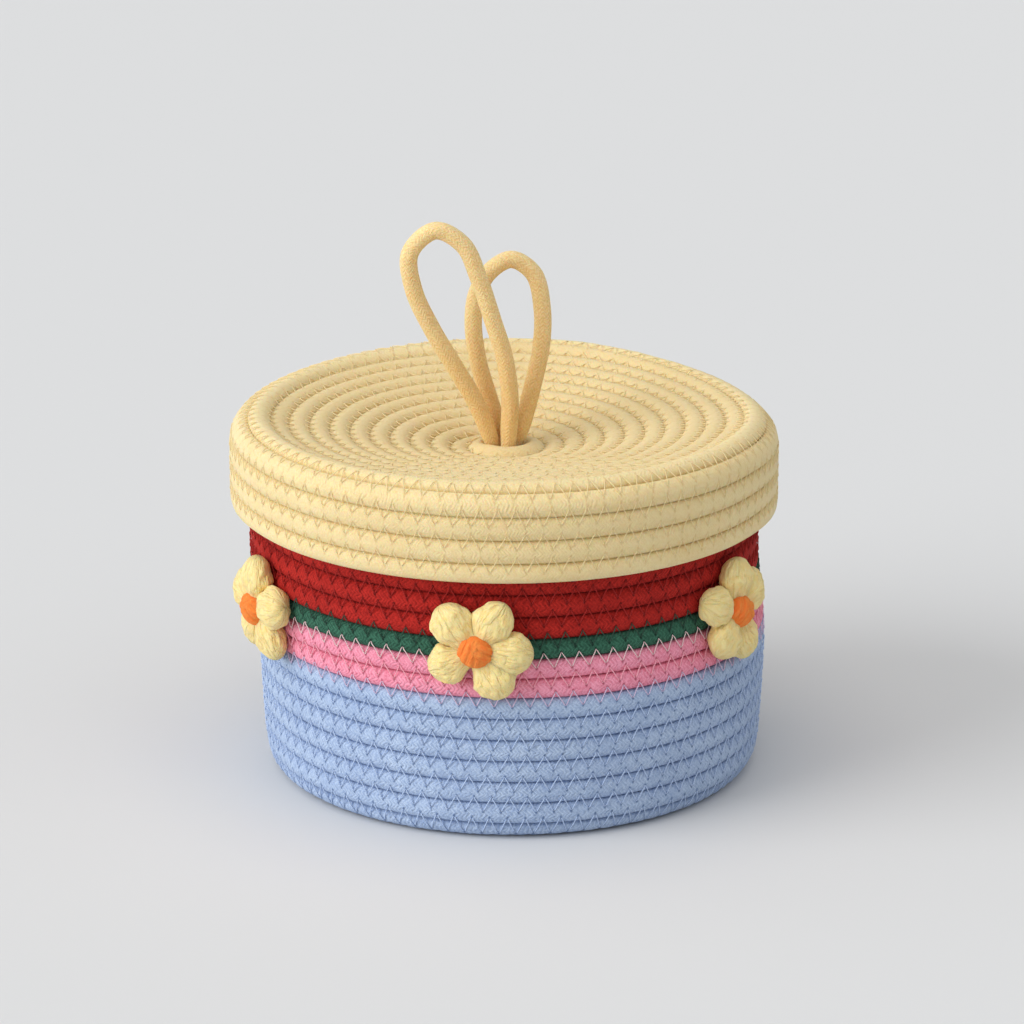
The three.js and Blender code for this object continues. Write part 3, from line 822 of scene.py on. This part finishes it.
def soft_yarn(name, light, dark, crease_shade, folded, lit_within):
    """Thick loosely spun yarn, a little translucent, with soft folds along it; the folds and the
    side tucked in towards the wall get painted shade.
    """
    made = Finish(name)
    along = made.read("along", TO_MM)
    across, depth = made.read("across", TO_MM), made.read("depth", TO_MM)
    angle = depth.maths("ARCTAN2", across)
    wander = made.noise(350.0, 2.0)
    ply = ((along / 3.6 + angle / math.pi + (wander - 0.5) * 1.2) * (2 * math.pi)).maths("SINE")
    fibres = made.noise(1.0, 3.0, vector=made.together(
        along * 0.45, across * 2.4, depth * 2.4 + wander * 3))
    folds = made.noise(1.0, 2.0, vector=made.together(
        along * 0.15 + wander * 0.5, across * 0.34, depth * 0.34 + wander * 0.5))
    # The folds give relief, and painted shade in their creases
    fold_relief_and_shade = ((folds - 0.5).abs() * 8).least(1.0).maths("SINE")
    fuzz, fluff = made.noise(1000.0, 3.0, roughness=0.65), made.noise(2200.0, 3.0)
    relief = (ply * (0.1 - folded * 0.1) + fold_relief_and_shade * (0.5 * folded) + fibres * 0.4
              + (fuzz - 0.5) * 0.3 + fluff * 0.12)
    shade = (ply * -0.12 + 0.36 + fold_relief_and_shade * (-0.3 * folded) + (fibres - 0.5) * -1.3
             + (fuzz - 0.5) * 0.6 + (fluff - 0.5) * 0.4)
    colour = made.mix(shade.most(0.0).least(1.0), light, dark)
    # Painted shade on the side tucked in towards the wall
    underside_shade = depth.steps_between(0.2, -1.2)
    colour = made.mix(underside_shade * 0.3, colour, crease_shade)
    made.let_light_in(0.4, lit_within)
    return made.finish(colour, relief, sheen=0.4, sheen_tint=light)


# Each rope's third colour is the painted shade of its seam creases and needle holes
BLUE = sewn_cotton("blue_cotton_rope", srgb(188, 207, 234), srgb(126, 150, 192),
                   srgb(82, 108, 154), crisp=0.8, grain=0.85)
PINK = sewn_cotton("pink_cotton_rope", srgb(252, 168, 192), srgb(222, 110, 134), srgb(172, 70, 92))
GREEN = sewn_cotton("green_cotton_rope", srgb(62, 114, 92), srgb(22, 56, 44), srgb(14, 36, 28))
RED = sewn_cotton("red_cotton_rope", srgb(190, 42, 34), srgb(124, 12, 10), srgb(86, 8, 8))
YELLOW = sewn_cotton("yellow_cotton_rope", srgb(240, 224, 176), srgb(224, 196, 138),
                     srgb(206, 170, 108), crisp=0.4, grain=0.55, crease_and_hole_shade=0.18, strand=1.05,
                     lit_within=1.5 * MM)
DISH = sewn_cotton("yellow_dish_rope", srgb(234, 214, 166), srgb(218, 190, 132),
                   srgb(204, 168, 108), crisp=0.3, grain=0.55, crease_and_hole_shade=0.2, strand=1.05,
                   reach=DISH_REACH, lit_within=2 * MM)
HANDLE = braided_rope("yellow_handle_rope", srgb(248, 224, 168), srgb(222, 176, 106))
# Each yarn's last colour is the painted shade of its tucked-under side
CREAM = soft_yarn("cream_yarn", srgb(255, 232, 168), srgb(254, 214, 126), srgb(255, 184, 98),
                  folded=1, lit_within=2 * MM)
ORANGE = soft_yarn("orange_yarn", srgb(255, 150, 74), srgb(255, 110, 40), srgb(255, 84, 22),
                   folded=0.4, lit_within=0.8 * MM)
BLUE_THREAD = thread_finish("blue_thread", srgb(196, 214, 242), srgb(150, 174, 214))
PINK_THREAD = thread_finish("pink_thread", srgb(250, 182, 196), srgb(232, 144, 164))
PALE_THREAD = thread_finish("pale_pink_thread", srgb(242, 216, 216), srgb(214, 172, 178))
LILAC_THREAD = thread_finish("lilac_thread", srgb(222, 204, 228), srgb(186, 168, 204))
GREEN_THREAD = thread_finish("green_thread", srgb(52, 84, 70), srgb(30, 56, 46))
RED_THREAD = thread_finish("red_thread", srgb(178, 42, 38), srgb(120, 18, 16))
YELLOW_THREAD = thread_finish("yellow_thread", srgb(238, 220, 172), srgb(230, 206, 152))


# Basket


def dressed(piece, body, slot, *nodes):
    """The piece rides on its body in place of its solids."""
    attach(piece, body)
    if nodes:
        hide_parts(*nodes)
    return piece


SEWN = {"Overlap": 1.02, "Thickness": ROPE_THICKNESS, "Squareness": 2.9, "Sides": 14,
        "Press": 0.16 * MM, "Unevenness": 0.18 * MM}

basket_rows = Rows(
    basket_line(),
    (BASE_TURNS + 1, FLAT_ROW),
    (BLUE_END - BASE_TURNS - 1, BLUE_ROW),
    (PINK_END - BLUE_END, PINK_ROW),
    (GREEN_END - PINK_END, GREEN_ROW),
    (RED_END - GREEN_END + 2, RED_ROW),
)


def middle_radius(rows, turn):
    return float(rows.line.at(rows.middle(turn))[0])


basket_start = 0.0
step = math.copysign(START_STEP, BASE_EYE_RADIUS - middle_radius(basket_rows, 0.0))
while (BASE_EYE_RADIUS - middle_radius(basket_rows, basket_start + step)) * step > 0:
    basket_start += step
basket_coil = Coil(basket_rows, basket_start, RED_END)


def basket_rope(name, finish, slot, node, first, last, **taper):
    path = basket_coil.path(first, last, **taper)
    path["middle"] = lean(path["middle"])
    return dressed(sweep(name, [path], finish, **SEWN), "basket", slot, node)


basket_rope("blue_rope_base", BLUE, "blue_cotton", "blue_coil", basket_start, BASE_PIECE_END)
basket_rope("blue_rope_wall", BLUE, "blue_cotton", "blue_coil", BASE_PIECE_END, BLUE_END)
basket_rope("pink_rope", PINK, "pink_cotton", "pink_coil", BLUE_END, PINK_END)
basket_rope("green_rope", GREEN, "green_cotton", "green_coil", PINK_END, GREEN_END)
basket_rope("red_rope", RED, "red_cotton", "red_coil", GREEN_END, RED_END, taper_last=TAPER_TURNS)


def sewing(name, coil, finish, slot, body, first, last,
           sunk=0.0, reach=STITCH_REACH, thread=THREAD):
    """The zigzag threads of some seams, outside and inside."""
    paths = []
    for face in (1, -1):
        points = coil.thread(first, last, face, reach=reach, sunk=sunk)
        moved = lean(points) if body == "basket" else settle(points)
        paths.append(framed(moved, thread))
    sewn = sweep(name, paths, finish, Thickness=thread, Squareness=2.0, Sides=5)
    return dressed(sewn, body, slot)


sewing("base_seam_thread", basket_coil, BLUE_THREAD, "blue_cotton", "basket",
       basket_start + BASE_THREAD_START, BASE_TURNS + 1, sunk=BASE_THREAD_SUNK)
for name, finish, slot, first, last in [
    ("blue_seam_thread", BLUE_THREAD, "blue_cotton", BASE_TURNS + 1, BLUE_END - 1),
    ("lilac_seam_thread", LILAC_THREAD, "pink_cotton", BLUE_END - 1, BLUE_END),
    ("pink_seam_thread", PINK_THREAD, "pink_cotton", BLUE_END, PINK_END - 1),
    ("pale_seam_thread", PALE_THREAD, "pink_cotton", PINK_END - 1, GREEN_END - 1),
    ("green_seam_thread", GREEN_THREAD, "green_cotton", GREEN_END - 1, GREEN_END),
    ("red_seam_thread", RED_THREAD, "red_cotton", GREEN_END, RED_END - 1),
]:
    sewing(name, basket_coil, finish, slot, "basket", first, last)


# Lid


def lid_rows_on_their_solid():
    """A whole number of rows fills the line from the skirt to the hole."""
    line = lid_line_on_its_solid()
    skirt = EDGE_ROW + SKIRT_ROWS * SKIRT_ROW
    end = skirt
    while float(line.at(end)[0]) > HOLE_RADIUS:
        end += HALF_THICKNESS / 10
    top_rows = round((end - skirt) / FLAT_ROW)
    top_row = (end - skirt) / top_rows
    rows = Rows(line, (1, EDGE_ROW), (SKIRT_ROWS, SKIRT_ROW), (top_rows + 2, top_row))
    return rows, 1 + SKIRT_ROWS + top_rows


lid_rows, lid_end = lid_rows_on_their_solid()
lid_coil = Coil(lid_rows, 0.0, lid_end)


def lid_rope(name, finish, first, last, settings, **taper):
    path = lid_coil.path(first, last, **taper)
    path["middle"] = settle(path["middle"])
    return dressed(sweep(name, [path], finish, **settings), "lid", "yellow_cotton", "lid_coil")


SOFTER = {**SEWN, "Press": 0.06 * MM}
ROUNDER = {**SEWN, "Overlap": 1.1, "Squareness": 2.5, "Press": 0.04 * MM,
           "Stitch Reach": DISH_REACH}
lid_rope("lid_rope_skirt", YELLOW, 0, SKIRT_TURNS, SOFTER, taper_first=TAPER_TURNS)
lid_rope("lid_rope_dish", DISH, SKIRT_TURNS, lid_end, ROUNDER, taper_last=COLLAR_TAPER_TURNS)
sewing("lid_skirt_thread", lid_coil, YELLOW_THREAD, "yellow_cotton", "lid",
       SKIRT_THREAD_START, SKIRT_TURNS - 1, sunk=SKIRT_THREAD_SUNK, thread=LID_THREAD)
sewing("lid_dish_thread", lid_coil, YELLOW_THREAD, "yellow_cotton", "lid",
       SKIRT_TURNS - 1, lid_end - 1, sunk=DISH_THREAD_SUNK, reach=DISH_REACH, thread=LID_THREAD)

# Handle loops and the winding that holds them under the lid
collar_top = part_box("front_loop")[1].z - (FRONT_LOOP_HEIGHT * MM + HANDLE_ROPE / 2)
winding_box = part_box("handle_binding")
tail_end = winding_box[0].z - TAIL_LENGTH
strand_ring = (HANDLE_SQUEEZED + STRAND_GAP) / math.sqrt(2)


def strand_place(quarter):
    angle = math.pi + STRAND_TURN + quarter * math.pi / 2
    return strand_ring * math.cos(angle), strand_ring * math.sin(angle)


def loop(name, node, loop_height, route, up_strand, down_strand):
    depths = [tail_end - collar_top, (tail_end - collar_top) / 2, -ROPE_THICKNESS, SQUEEZE_START]
    rising = [(*strand_place(up_strand), depth) for depth in depths]
    falling = [(*strand_place(down_strand), depth) for depth in reversed(depths)]
    middle = [(x * MM, y * MM, share * loop_height * MM) for x, y, share in route]
    points = catmull_rom(rising + middle + falling, LOOP_RINGS)
    height = points[:, 2].copy()
    points[:, 2] += collar_top
    path = framed(points, HANDLE_ROPE)
    share = np.clip((height - SQUEEZE_START) / (SQUEEZE_END - SQUEEZE_START), 0, 1)
    swell = share * share * (3 - 2 * share)
    path["size"] = (HANDLE_SQUEEZED + (HANDLE_ROPE - HANDLE_SQUEEZED) * swell) / HANDLE_ROPE
    rope = sweep(name, [path], HANDLE, Thickness=HANDLE_ROPE, Squareness=2.0, Sides=28,
                 Unevenness=0.22 * MM, Seed=3)
    return dressed(rope, "lid", "yellow_cotton", node)


loop("front_loop_rope", "front_loop", FRONT_LOOP_HEIGHT, FRONT_LOOP_ROUTE, 0, 1)
loop("back_loop_rope", "back_loop", BACK_LOOP_HEIGHT, BACK_LOOP_ROUTE, 3, 2)


def winding():
    radius = winding_box[1].x - HALF_THICKNESS
    line = SectionLine(radius, winding_box[1].z - FLAT_ROW / 2, -math.pi / 2, [(FLAT_ROW, 0)])
    coil = Coil(Rows(line, (9, FLAT_ROW)), 0.0, BINDING_TURNS)
    path = coil.path(0, BINDING_TURNS, sewn=(9, 0))  # no thread goes over these rows
    rope = sweep("handle_winding", [path], HANDLE, Thickness=ROPE_THICKNESS, Squareness=2.2,
                 Sides=20, Unevenness=0.2 * MM, Seed=5)
    return dressed(rope, "lid", "yellow_cotton", "handle_binding")


winding()


# Flowers


def onto_wall(points, bearing_from_front, height):
    """Points given as (right, outward, up) from the flower's foot, bent round the wall."""
    wall = WALL_RADIUS + HALF_THICKNESS
    radius = wall + points[:, 1]
    angle = -math.pi / 2 + bearing_from_front + points[:, 0] / wall
    return lean(round_axis(radius, height + points[:, 2], angle))


def petal(turn, random):
    """A plump petal of combed yarn: its middle line from the hub out, and its size on the way."""
    share = (1 - np.cos(np.linspace(0, np.pi, PETAL_RINGS))) / 2
    length = PETAL_LENGTH * random.uniform(0.95, 1.03)
    out_along = PETAL_START + length * share
    aside = random.uniform(-1, 1) * PETAL_SWAY * share * share
    rise = PETAL_RISE - PETAL_DROOP * share ** 3
    blunt, pinch = random.uniform(3.2, 4.6), random.uniform(0.46, 0.66)
    waist = np.clip(share / 0.55, 0, 1)
    size = (1 - share ** blunt) ** pinch * (0.55 + 0.45 * waist * waist * (3 - 2 * waist))
    size = size * (1 + 0.03 * np.sin(share * 9 + random.uniform(0, 6))) * random.uniform(0.95, 1.04)
    points = np.stack([
        out_along * math.cos(turn) - aside * math.sin(turn),
        rise,
        out_along * math.sin(turn) + aside * math.cos(turn),
    ], axis=-1)
    return points, np.maximum(size, LEAST_SIZE)


def ball(tilt):
    """The round middle under its strands: a short line across it, and the size along the way."""
    across = np.cos(np.linspace(np.pi, 0, BALL_RINGS))
    points = np.stack([
        across * BALL_WIDTH / 2 * math.cos(tilt), np.full(BALL_RINGS, CENTRE_FOOT),
        across * BALL_WIDTH / 2 * math.sin(tilt),
    ], axis=-1)
    return points, np.maximum(np.sqrt(1 - across * across), LEAST_SIZE)


def over_the_middle(offset, tilt, start, end, lift):
    """A strand over the flower's round middle; start and end are half circles from its top."""
    share = np.linspace(start, end, STRAND_RINGS) * math.pi
    radius, width = CENTRE_RADIUS - CENTRE_YARN / 2, math.sqrt(1 - offset * offset)
    straight, aside = np.sin(share) * width * radius, (offset + 0.06 * np.cos(share)) * radius
    dome = CENTRE_TOP - CENTRE_YARN * 0.45 - CENTRE_FOOT
    return np.stack([
        straight * math.cos(tilt) - aside * math.sin(tilt),
        CENTRE_FOOT + lift + np.cos(share) * width * dome,
        straight * math.sin(tilt) + aside * math.cos(tilt),
    ], axis=-1)


def flower(place, where, height, flower_turn):
    random = np.random.default_rng(40 + place)
    shifts = PETAL_SHIFTS.get(place, random.uniform(-4, 4, PETAL_COUNT))
    facing = (math.sin(where), -math.cos(where), 0.0)

    def puff(points, size, width):
        path = framed(onto_wall(points, where, height), width, facing)
        path["size"] = size
        path["along"] += random.uniform(0, 1)
        return path

    paths = []
    for number in range(PETAL_COUNT):
        even_turn = number * 2 * math.pi / PETAL_COUNT
        turn = PETAL_TURN + flower_turn + even_turn + shifts[number] * DEGREE
        paths.append(puff(*petal(turn, random), PETAL_WIDTH))
    petals = sweep(f"flower_{place + 1}_petal_yarn", paths, CREAM, Thickness=PETAL_DEPTH,
                   Squareness=2.1, Sides=44, Unevenness=PETAL_UNEVENNESS, Lumps=PETAL_LUMPS,
                   Side_Lumps=1.0, Seed=place)
    dressed(petals, "basket", "cream_yarn", f"flower_{place + 1}_petals")

    tilt = CENTRE_TILT + random.uniform(-0.3, 0.3)
    wound = sweep(f"flower_{place + 1}_centre_ball", [puff(*ball(tilt), BALL_WIDTH)], ORANGE,
                  Thickness=BALL_DEPTH, Squareness=2.0, Sides=44, Unevenness=0.2 * MM,
                  Seed=10 + place)
    dressed(wound, "basket", "orange_yarn")
    asides = (np.arange(STRAND_COUNT) - STRAND_COUNT // 2) * STRAND_SPACING
    strands = [over_the_middle(aside, tilt, -0.5, 0.5, 0) for aside in asides]
    strands += [over_the_middle(aside, tilt - CROSSING_TURN, -0.1, 0.5, CROSSING_LIFT)
                for aside in CROSSING_ASIDES]
    size = 1 - np.linspace(-0.75, 0.75, STRAND_RINGS) ** 4
    paths = [puff(strand, size, CENTRE_YARN) for strand in strands]
    centre = sweep(f"flower_{place + 1}_centre_yarn", paths, ORANGE,
                   Thickness=CENTRE_YARN * 0.9, Squareness=2.0, Sides=14, Unevenness=0.4 * MM,
                   Lumps=330.0, Seed=20 + place)
    dressed(centre, "basket", "orange_yarn", f"flower_{place + 1}_centre")


for place, (where, height, turn) in enumerate(FLOWER_PLACES):
    flower(place, where, height, turn)


# Stage, light and camera


def stage_floor():
    mesh = bpy.data.meshes.new("studio_floor")
    half = FLOOR_HALF_WIDTH
    corners = [(-half, -half, 0), (half, -half, 0), (half, half, 0), (-half, half, 0)]
    mesh.from_pydata(corners, [], [(0, 1, 2, 3)])
    floor = bpy.data.objects.new("studio_floor", mesh)
    bpy.context.scene.collection.objects.link(floor)
    paint = bpy.data.materials.new("pale_studio_floor")
    paint.use_nodes = True
    shader = paint.node_tree.nodes["Principled BSDF"]
    shader.inputs["Base Color"].default_value = (*srgb(217, 218, 219), 1)
    shader.inputs["Roughness"].default_value = 0.9
    shader.inputs["Specular IOR Level"].default_value = 0.2
    mesh.materials.append(paint)


def window_light(azimuth, elevation, softness, on_the_floor):
    """Soft light from far away; on_the_floor is its share of the floor's light."""
    lamp = bpy.data.lights.new("window", "SUN")
    lamp.angle = softness
    lamp.energy = math.pi * on_the_floor / math.sin(elevation)
    light = bpy.data.objects.new("window", lamp)
    level = math.cos(elevation)
    towards = (-level * math.cos(azimuth), -level * math.sin(azimuth), math.sin(elevation))
    light.rotation_euler = Vector(towards).to_track_quat("Z", "Y").to_euler()
    bpy.context.scene.collection.objects.link(light)


def studio():
    stage_floor()
    for lamp in LAMPS:
        window_light(*lamp)
    world = bpy.data.worlds.new("soft_room")
    world.use_nodes = True
    bpy.context.scene.world = world
    background = world.node_tree.nodes["Background"]
    background.inputs["Color"].default_value = ROOM_COLOUR
    background.inputs["Strength"].default_value = ROOM_STRENGTH
    lens = bpy.data.cameras.new("camera")
    lens.lens, lens.sensor_width = LENS_LENGTH, SENSOR_WIDTH
    lens.clip_start, lens.clip_end = 0.05, 50
    camera = bpy.data.objects.new("camera", lens)
    camera.location = CAMERA_PLACE
    camera.rotation_euler = (math.pi / 2 - CAMERA_DOWN, 0, 0)
    bpy.context.scene.collection.objects.link(camera)
    bpy.context.scene.camera = camera
    bpy.context.scene.view_settings.view_transform = "Standard"


studio()
